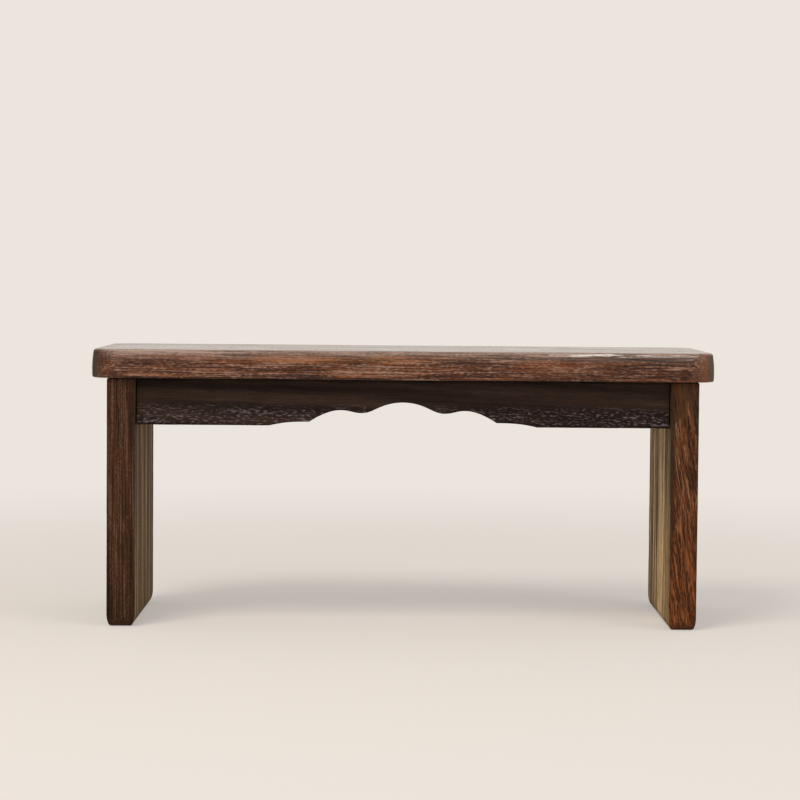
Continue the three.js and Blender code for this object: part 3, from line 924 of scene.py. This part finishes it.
def end_layers(tree, where, grain, look):
    """Short grain on a round corner is plain. End grain drinks more oil, so it is darker.

    It shows the lines that the saw left and the darker early wood of each ring.
    """
    at_high_end = add(tree, "MapRange", [where.reach, -1.0, 1.0])
    short_grain = layered(tree, look.ends.short_low, [(at_high_end, look.ends.short_high)])
    end_grain = layered(tree, look.ends.end_low, [(at_high_end, look.ends.end_high)])
    turning = add(tree, "MapRange", [where.endwise, 0.08, 0.6])
    grooves = add(tree, "MapRange", [grain.height, -0.2, 0.2, 0.9, 0.6])
    saw = noisy(tree, where.centred, (SAW_LINE_WIDTH, SAW_LINE_WIDTH, SAW_LINE_LENGTH), 1)
    sawn = add(tree, "MapRange", [saw, 0.5, 0.62, 0.0, 0.3])
    early_wood = add(tree, "MapRange", [grain.relief, 0.65, 0.3, 0.0, 0.6])
    return [
        (product(tree, turning, grooves), short_grain),
        (product(tree, where.on_end, 0.85), end_grain),
        (product(tree, where.on_end, sawn), look.edge.groove),
        (product(tree, where.on_end, early_wood), look.edge.groove),
    ]


def knot_layers(tree, away, look):
    """A dark knot inside a faint ring of warmer wood."""
    ring = [add(tree, "MapRange", [away, 1.0, 1.15]), add(tree, "MapRange", [away, 1.6, 1.25])]
    return [
        (product(tree, *ring, 0.35), look.edge.warm),
        (add(tree, "MapRange", [away, 1.2, 0.7, 0.0, 0.85]), look.edge.deep),
        (add(tree, "MapRange", [away, 0.9, 0.4, 0.0, 0.7]), look.edge.groove),
    ]


def board_roughness(tree, where, grain, look):
    """Grooves are rougher than ridges, and end grain is the roughest."""
    more = total(tree, (where.on_face, look.face_roughness - look.roughness), (where.on_end, 0.15))
    by_height = [grain.height, -0.15, 0.2, look.roughness + 0.12, look.roughness - 0.08]
    return add(tree, "Math", [more, add(tree, "MapRange", by_height)], operation="ADD")


def board_bump(tree, where, grain):
    """The finest grooves, which are shallower on the rubbed top."""
    dug = total(tree, (grain.lines, 0.8), (grain.dashes, 0.5), (grain.streaks, 0.8), (grain.pores, -0.5))
    on_top = add(tree, "MapRange", [where.up, 0.6, 0.97])
    left = add(tree, "MapRange", [on_top, 0.0, 1.0, 1.0, 1 - RUBBED_SHARE])
    return add(tree, "Bump", {"Height": product(tree, dug, left), "Strength": 0.7, "Distance": BUMP_DEPTH})


def brushed_wood(name, node, timber, look, knot=None, marks=()):
    """Paulownia, charred, wire-brushed along its grain, oiled and waxed.

    The brush leaves dark grooves and rubbed ridges. The char gives a deep brown with warm patches where it is
    thin, and the wax a satin sheen that is stronger where the board is rubbed. Glints on the ridges, a sheen
    on the seat's upper edge and shade along the arrises and under the seat are painted into the colour.
    """
    made, tree = new_material(name)
    where = where_on(tree, node, timber)
    place = grain_place(tree, where, timber)
    if knot:
        place, from_knot = round_a_knot(tree, where, place, knot)
    grain = draw_grain(tree, place, timber)
    layers = [rim_and_shade_layer(tree, where, grain, timber, look)]
    if look.worn_from is not None:
        layers.append(wear_and_sheen_layer(tree, where, grain, look))
    layers += [mark_layer(tree, where, grain, mark) for mark in marks]
    layers += end_layers(tree, where, grain, look)
    if knot:
        layers += knot_layers(tree, from_knot, look)
    inputs = {
        "Base Color": layered(tree, board_tone(tree, where, grain, timber, look), layers),
        "Roughness": board_roughness(tree, where, grain, look),
        "Normal": board_bump(tree, where, grain),
        "IOR": 1.45,
        "Specular IOR Level": look.gloss,
    }
    add(tree, "OutputMaterial", [add(tree, "BsdfPrincipled", inputs)])
    return made


# The fine lines that drawing leaves along a metal, and the rays of turned beech
DRAWN_LINE_WIDTH = 0.15 * MM
DRAWN_LINE_LENGTH = 6 * MM
DRAWN_LINE_DEPTH = 0.03 * MM
RAY_WIDTH = 0.6 * MM
RAY_LENGTH = 5 * MM
RAY_DEPTH = 0.1 * MM


def metal(name, bright, dull, roughness, spot, brushed):
    """A drawn or plated metal: fine lines along its length where it was drawn, and duller handled spots."""
    made, tree = new_material(name)
    place = add(tree, "TexCoord", output="Object")
    spots = noisy(tree, place, [spot] * 3, 4)
    lines = noisy(tree, place, (DRAWN_LINE_WIDTH, DRAWN_LINE_LENGTH, DRAWN_LINE_WIDTH), 2)
    inputs = {
        "Base Color": add(tree, "ValToRGB", [spots], stops=[(0.35, bright), (0.7, dull)]),
        "Metallic": 1.0,
        "Roughness": total(tree, (1.0, roughness - 0.2), (lines, 0.1), (spots, 0.3)),
        "Normal": add(tree, "Bump", {"Height": lines, "Strength": brushed, "Distance": DRAWN_LINE_DEPTH}),
    }
    add(tree, "OutputMaterial", [add(tree, "BsdfPrincipled", inputs)])
    return made


def beech_dowel_finish():
    """Plain beech, turned: pale, with short darker rays along the dowel."""
    made, tree = new_material("beech_turned_plain")
    place = add(tree, "TexCoord", output="Object")
    rays = noisy(tree, place, (RAY_WIDTH, RAY_WIDTH, RAY_LENGTH), 3)
    inputs = {
        "Base Color": add(tree, "ValToRGB", [rays], stops=[(0.35, "a87c50"), (0.65, "cda377")]),
        "Roughness": 0.65,
        "Normal": add(tree, "Bump", {"Height": rays, "Strength": 0.4, "Distance": RAY_DEPTH}),
    }
    add(tree, "OutputMaterial", [add(tree, "BsdfPrincipled", inputs)])
    return made


# Colours
SEAT_EDGE = Palette("281307", "3a1c0c", "512b16", "6a432c", "957361", "b39c8f", "84461b", "24110a")
SEAT_FACE = Palette("33221a", "4d372b", "664b3d", "826859", "a58d80", "a58d80", "7a5537", "2e1d14")
LEFT_EDGE = Palette("20120b", "302013", "3f2818", "503423", "65493a", "6d4f3d", "56301b", "1c110b")
# The legs' faces towards the bench's middle are paler than their outer faces: painted light thrown up from
# the floor, stronger on the right leg
LEFT_INNER_PAINTED_LIGHT = Palette("2a2012", "463620", "674e32", "90734c", "ba9c72", "ba9c72", "6c4b2a", "1a120b")
LEFT_OUTER = Palette("1c110b", "2f1f14", "43301f", "5a4230", "75604c", "75604c", "56301b", "1a120b")
RIGHT_EDGE = Palette("21120b", "3a2214", "533420", "6c442a", "8c6345", "94694a", "80411c", "24160e")
RIGHT_INNER_PAINTED_LIGHT = Palette("3a2b1a", "6e5637", "a48459", "d6b684", "f6daac", "f6daac", "9a6d3a", "20150c")
RIGHT_OUTER = Palette("20130b", "362214", "4f3420", "694930", "86684b", "86684b", "70401f", "20150c")
APRON_WOOD = Palette("1d1512", "241a16", "2b201b", "33261f", "3d2f29", "7c7174", "38251c", "150e0b")
# The seat's right end is lighter than its left: painted light from the right
SEAT_ENDS_WITH_PAINTED_LIGHT = Ends("46240d", "724628", "332a18", "524838")
LEG_ENDS = Ends("3a2417", "3a2417", "2a1e17", "2a1e17")
APRON_ENDS = Ends("241a15", "241a15", "1c1512", "1c1512")
BACKDROP_COLOUR = "ece5de"
DAYLIGHT_COLOUR = "f2f1ee"

# Higher than the whole bench
NO_LIMIT = 1.0
SEAT_LOOK = Look(
    edge=SEAT_EDGE,
    outer=SEAT_FACE,
    inner=SEAT_FACE,
    ends=SEAT_ENDS_WITH_PAINTED_LIGHT,
    warmth=0.9,
    flecks=0.3,
    flecks_to=NO_LIMIT,
    worn_from=192 * MM,
    rim=2.2,
    rim_share=0.7,
    roughness=0.45,
    face_roughness=0.12,
    gloss=0.29,
)
LEFT_LOOK = Look(
    edge=LEFT_EDGE,
    outer=LEFT_OUTER,
    inner=LEFT_INNER_PAINTED_LIGHT,
    ends=LEG_ENDS,
    warmth=0.8,
    flecks=0.15,
    flecks_to=NO_LIMIT,
    worn_from=None,
    rim=3.2,
    rim_share=0.6,
    roughness=0.5,
    face_roughness=0.7,
    gloss=0.1,
)
# The right leg's wider rim also paints shade on its inner face along the front edge
RIGHT_LOOK = LEFT_LOOK._replace(edge=RIGHT_EDGE, outer=RIGHT_OUTER, inner=RIGHT_INNER_PAINTED_LIGHT, rim=4.5, rim_share=0.7)
# The painted glints stop at the middle of the apron, leaving its upper half as in the seat's shade
APRON_LOOK = Look(
    edge=APRON_WOOD,
    outer=APRON_WOOD,
    inner=APRON_WOOD,
    ends=APRON_ENDS,
    warmth=0.4,
    flecks=0.62,
    flecks_to=158 * MM,
    worn_from=None,
    rim=1.2,
    rim_share=0.6,
    roughness=0.5,
    face_roughness=0.5,
    gloss=0.06,
)

# The knot in the seat's front edge: its place, and half its length, reach and height
KNOT = ((201.5 * MM, -75 * MM, 182.6 * MM), (3.3 * MM, 30 * MM, 2.2 * MM))
# Painted shade along the left leg's back inner edge, under the seat
LEFT_PAINTED_SHADE = [Mark((-192.5 * MM, 66 * MM, 90 * MM), (6 * MM, 16 * MM, 150 * MM), "1e1710", 0.6)]
# Painted shade along the right leg's front inner edge, on both faces, and at its top under the seat, where it
# is also charred. Redder wood at its foot
RIGHT_SHADE_AND_MARKS = [
    Mark((192.5 * MM, -70.5 * MM, 118 * MM), (5 * MM, 45 * MM, 105 * MM), "33281a", 0.7),
    Mark((192.5 * MM, -66 * MM, 90 * MM), (4 * MM, 18 * MM, 150 * MM), "2b2015", 0.6),
    Mark((203 * MM, -70.5 * MM, 176 * MM), (40 * MM, 20 * MM, 30 * MM), "38281a", 0.8),
    Mark((203 * MM, -70.5 * MM, 28 * MM), (40 * MM, 5 * MM, 60 * MM), "96501f", 0.4),
]
# An amber band, and a smoky line with painted glints of light above it, all three along the seat's front edge
SEAT_MARKS_AND_GLINTS = [
    Mark((-35 * MM, -75 * MM, 193.4 * MM), (75 * MM, 5 * MM, 3.2 * MM), "9c6029", 0.75),
    Mark((165 * MM, -75 * MM, 195.9 * MM), (62 * MM, 5 * MM, 2.5 * MM), "241f20", 1.0),
    Mark((150 * MM, -75 * MM, 197.9 * MM), (62 * MM, 5 * MM, 1.4 * MM), "efe7e2", 1.0, broken=True),
]


def build_boards():
    seat = brushed_wood("paulownia_brushed_seat", "seat_board", SEAT_TIMBER, SEAT_LOOK, KNOT, SEAT_MARKS_AND_GLINTS)
    left = brushed_wood("paulownia_brushed_left_leg", "leg_left", LEFT_TIMBER, LEFT_LOOK, None, LEFT_PAINTED_SHADE)
    right = brushed_wood(
        "paulownia_brushed_right_leg", "leg_right", RIGHT_TIMBER, RIGHT_LOOK, None, RIGHT_SHADE_AND_MARKS
    )
    apron = brushed_wood("paulownia_charred_apron", "front_apron", APRON_TIMBER, APRON_LOOK)
    rails = brushed_wood("paulownia_charred_rails", "end_rail_left", RAIL_TIMBER, APRON_LOOK)
    seat_board(seat)
    front_apron(apron)
    leg("left", left, LEFT_TIMBER)
    leg("right", right, RIGHT_TIMBER)
    for side in SIDES:
        end_rail(side, rails)


def build_fittings():
    brass = metal("brass_rolled_aged", "b8934f", "8a6a36", roughness=0.36, spot=6 * MM, brushed=0.25)
    steel = metal("steel_zinc_plated", "a2a5a6", "7f8284", roughness=0.36, spot=5 * MM, brushed=0.2)
    nickel = metal("nickel_plated_magnet", "c8c6be", "b2aea4", roughness=0.24, spot=8 * MM, brushed=0.1)
    beech = beech_dowel_finish()
    for node in named("hinge", "leaf"):
        hinge_leaf(node, brass)
    for node in named("hinge", "pin"):
        hinge_pin(node, steel)
    for node in named("hinge", "screw"):
        fitting(placed(wood_screw(HINGE_SCREW), *screw_place_and_turn(node)), node, brass)
    for node in named("rail_screw"):
        fitting(placed(wood_screw(RAIL_SCREW), *screw_place_and_turn(node)), node, steel)
    for node in named("leg_magnet") + named("seat_magnet"):
        disc_magnet(node, nickel)
    for node in DOWELS:
        frame["nodes"][node].data.materials.clear()
        frame["nodes"][node].data.materials.append(beech)


# The studio: lamps at the level where a colour renders about as it is written
Lamp = namedtuple("Lamp", "name place size watts colour")
LAMPS = [
    Lamp("key", (-1.0, -1.4, 2.2), 1.3, 34, "fff6ea"),
    Lamp("fill", (1.8, -1.3, 1.3), 1.6, 12, "f7f6ff"),
]
LAMP_AIM = (0, 0, 0.1)
SKY_STRENGTH = 0.55
FLOOR_RADIUS = 8
FLOOR_SIDES = 96
FLOOR_DEPTH = 0.3 * MM
# The floor fades into the backdrop's colour between these distances from the bench, from this share
FADE_FROM = 0.3
FADE_TO = 1.2
FADE_SHARE = 0.4


def seen_directly(tree):
    """1 for what the camera, gloss and glass see, and 0 for what lights the object."""
    rays = [add(tree, "LightPath", output=f"Is {kind} Ray") for kind in ("Camera", "Glossy", "Transmission")]
    seen = add(tree, "Math", rays[:2], operation="MAXIMUM")
    return add(tree, "Math", [seen, rays[2]], operation="MAXIMUM")


def build_world():
    world = bpy.data.worlds.new("studio")
    bpy.context.scene.world = world
    world.use_nodes = True
    tree = world.node_tree
    tree.nodes.clear()
    light = add(tree, "Background", {"Color": DAYLIGHT_COLOUR, "Strength": SKY_STRENGTH})
    shown = add(tree, "Background", {"Color": BACKDROP_COLOUR, "Strength": 1.0})
    add(tree, "OutputWorld", [add(tree, "MixShader", [seen_directly(tree), light, shown])])


def build_floor():
    """A pale floor that fades into the backdrop's colour away from the bench, and is clear from below."""
    bm = bmesh.new()
    bmesh.ops.create_circle(bm, cap_ends=True, segments=FLOOR_SIDES, radius=FLOOR_RADIUS)
    bmesh.ops.translate(bm, vec=(0, 0, -FLOOR_DEPTH), verts=bm.verts)
    floor = mesh_object("floor", bm)
    made, tree = new_material("floor_paint_matt")
    away = add(tree, "VectorMath", [add(tree, "TexCoord", output="Object")], operation="LENGTH")
    fade = [away, FADE_FROM, FADE_TO, FADE_SHARE, 1.0]
    far = add(tree, "MapRange", fade, interpolation_type="SMOOTHSTEP")
    matt = add(tree, "BsdfDiffuse", {"Color": BACKDROP_COLOUR})
    shown = add(tree, "Emission", {"Color": BACKDROP_COLOUR, "Strength": 1.0})
    above = add(tree, "MixShader", [product(tree, seen_directly(tree), far), matt, shown])
    below = add(tree, "NewGeometry", output="Backfacing")
    seen_from_below = product(tree, below, add(tree, "LightPath", output="Is Camera Ray"))
    clear = add(tree, "BsdfTransparent")
    add(tree, "OutputMaterial", [add(tree, "MixShader", [seen_from_below, above, clear])])
    floor.data.materials.append(made)


def build_lights():
    for lamp in LAMPS:
        data = bpy.data.lights.new(lamp.name, "AREA")
        data.shape = "DISK"
        data.size = lamp.size
        data.energy = lamp.watts
        data.color = linear(lamp.colour)[:3]
        made = bpy.data.objects.new(lamp.name, data)
        made.location = lamp.place
        made.rotation_euler = (Vector(LAMP_AIM) - Vector(lamp.place)).to_track_quat("-Z", "Y").to_euler()
        made.visible_camera = False
        bpy.context.scene.collection.objects.link(made)


def build_camera():
    data = bpy.data.cameras.new("camera")
    data.lens = CAMERA_LENS
    data.clip_start = CAMERA_NEAREST
    camera = bpy.data.objects.new("camera", data)
    turn = Euler((math.pi / 2 - CAMERA_PITCH, 0, -CAMERA_YAW)).to_matrix().to_4x4()
    camera.matrix_world = Matrix.Translation(CAMERA_PLACE) @ turn @ Matrix.Rotation(CAMERA_ROLL, 4, "Z")
    bpy.context.scene.collection.objects.link(camera)
    bpy.context.scene.camera = camera


build_camera()
build_world()
build_floor()
build_lights()
build_boards()
build_fittings()
bpy.context.scene.view_settings.view_transform = "Standard"
